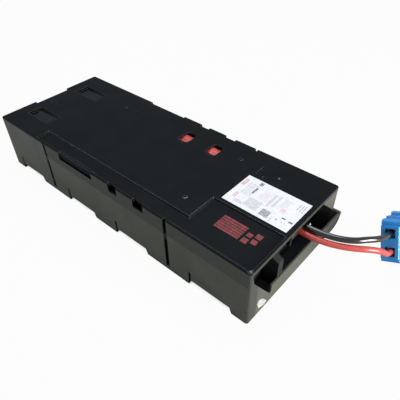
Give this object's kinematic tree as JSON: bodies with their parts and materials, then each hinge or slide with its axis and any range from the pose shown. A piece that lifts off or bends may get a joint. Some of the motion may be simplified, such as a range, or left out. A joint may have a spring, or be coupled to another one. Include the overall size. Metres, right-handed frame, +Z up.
{
  "type": "ups battery cartridge",
  "caption": "Moulded battery cartridge for a rack power supply: sealed blocks in series in a tray with a clip-on cover, and flying leads that end in a polarised connector.",
  "frame": {"origin": "under the middle of the cartridge, flared lip included, on the surface it stands on", "axes": "+X along the cartridge towards the lead end, +Y towards the far long side, +Z up"},
  "size_m": [0.5321, 0.2154, 0.0812],
  "materials": {
    "tray_plastic": "fine moulded texture, charcoal",
    "cover_plastic": "satin moulded, near black",
    "block_case": "dark grey ABS",
    "block_lid": "grey ABS",
    "vent_plastic": "dark ABS",
    "tinned_brass": "tinned",
    "black_wire": "semi-gloss insulation",
    "red_wire": "semi-gloss insulation",
    "nylon": "natural nylon",
    "saddle_plastic": "black nylon",
    "connector_plastic": "blue polycarbonate",
    "silvered_copper": "silver plated",
    "spring_steel": "stainless",
    "label_film": "white film",
    "print_ink": "red ink",
    "foam": "closed-cell foam",
    "card": "pressed board",
    "pin_plastic": "natural nylon"
  },
  "bodies": {
    "root": {"battery_1_case": "block_case", "battery_1_lid": "block_lid", "battery_1_terminals": "tinned_brass", "battery_1_vent_strip": "vent_plastic", "battery_2_case": "block_case", "battery_2_lid": "block_lid", "battery_2_terminals": "tinned_brass", "battery_2_vent_strip": "vent_plastic", "battery_3_case": "block_case", "battery_3_lid": "block_lid", "battery_3_terminals": "tinned_brass", "battery_3_vent_strip": "vent_plastic", "battery_4_case": "block_case", "battery_4_lid": "block_lid", "battery_4_terminals": "tinned_brass", "battery_4_vent_strip": "vent_plastic", "black_lead": "black_wire", "black_lead_inner": "black_wire", "black_lead_receptacle": "nylon", "connector_contacts": "silvered_copper", "connector_housing": "connector_plastic", "connector_springs": "spring_steel", "cover_pins": "pin_plastic", "foam_strip_far": "foam", "foam_strip_near": "foam", "front_sticker": "label_film", "lead_fence": "cover_plastic", "lead_saddle": "saddle_plastic", "link_1_receptacles": "nylon", "link_2_receptacles": "nylon", "link_3_receptacles": "nylon", "lower_tray": "tray_plastic", "rating_label": "label_film", "red_lead": "red_wire", "red_lead_inner": "red_wire", "red_lead_receptacle": "nylon", "red_print": "print_ink", "series_link_1": "black_wire", "series_link_2": "black_wire", "series_link_3": "black_wire", "terminal_card_1": "card", "terminal_card_2": "card", "terminal_card_3": "card", "top_cover": "cover_plastic"}
  },
  "joints": []
}
